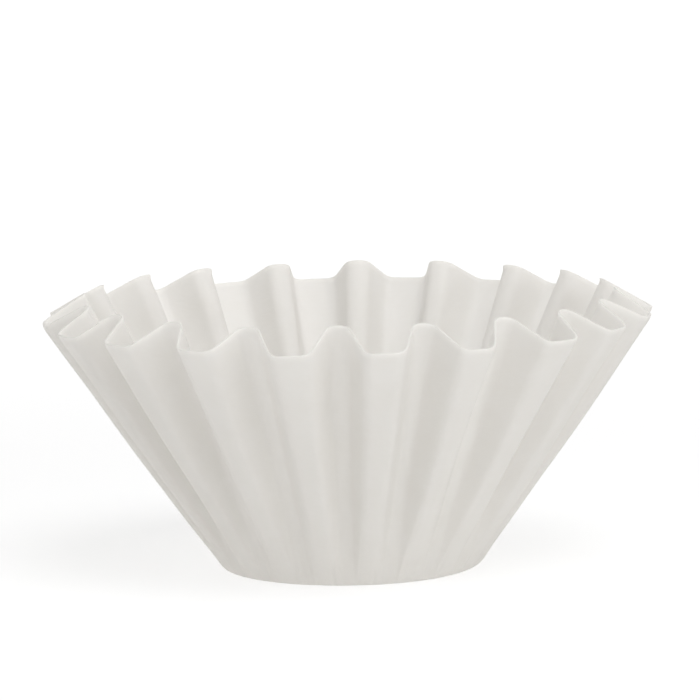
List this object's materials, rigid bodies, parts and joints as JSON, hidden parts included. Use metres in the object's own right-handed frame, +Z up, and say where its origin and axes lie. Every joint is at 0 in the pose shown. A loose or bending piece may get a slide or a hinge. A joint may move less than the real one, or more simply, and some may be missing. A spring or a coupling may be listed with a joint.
{
  "type": "paper coffee filter",
  "caption": "Flat-bottomed paper coffee filter: one round sheet pressed into a flaring cup with a fluted wall and a wavy rim, to line a brewer.",
  "frame": {"origin": "middle of the base's underside, on the plane that the filter stands on", "axes": "+Z up along the cup's own axis, +X through the middle of one outer ridge"},
  "size_m": [0.1092, 0.1092, 0.049],
  "materials": {
    "filter_paper": "matte, fibrous, lets some light through"
  },
  "bodies": {
    "root": {"filter_paper": "filter_paper"}
  },
  "joints": []
}
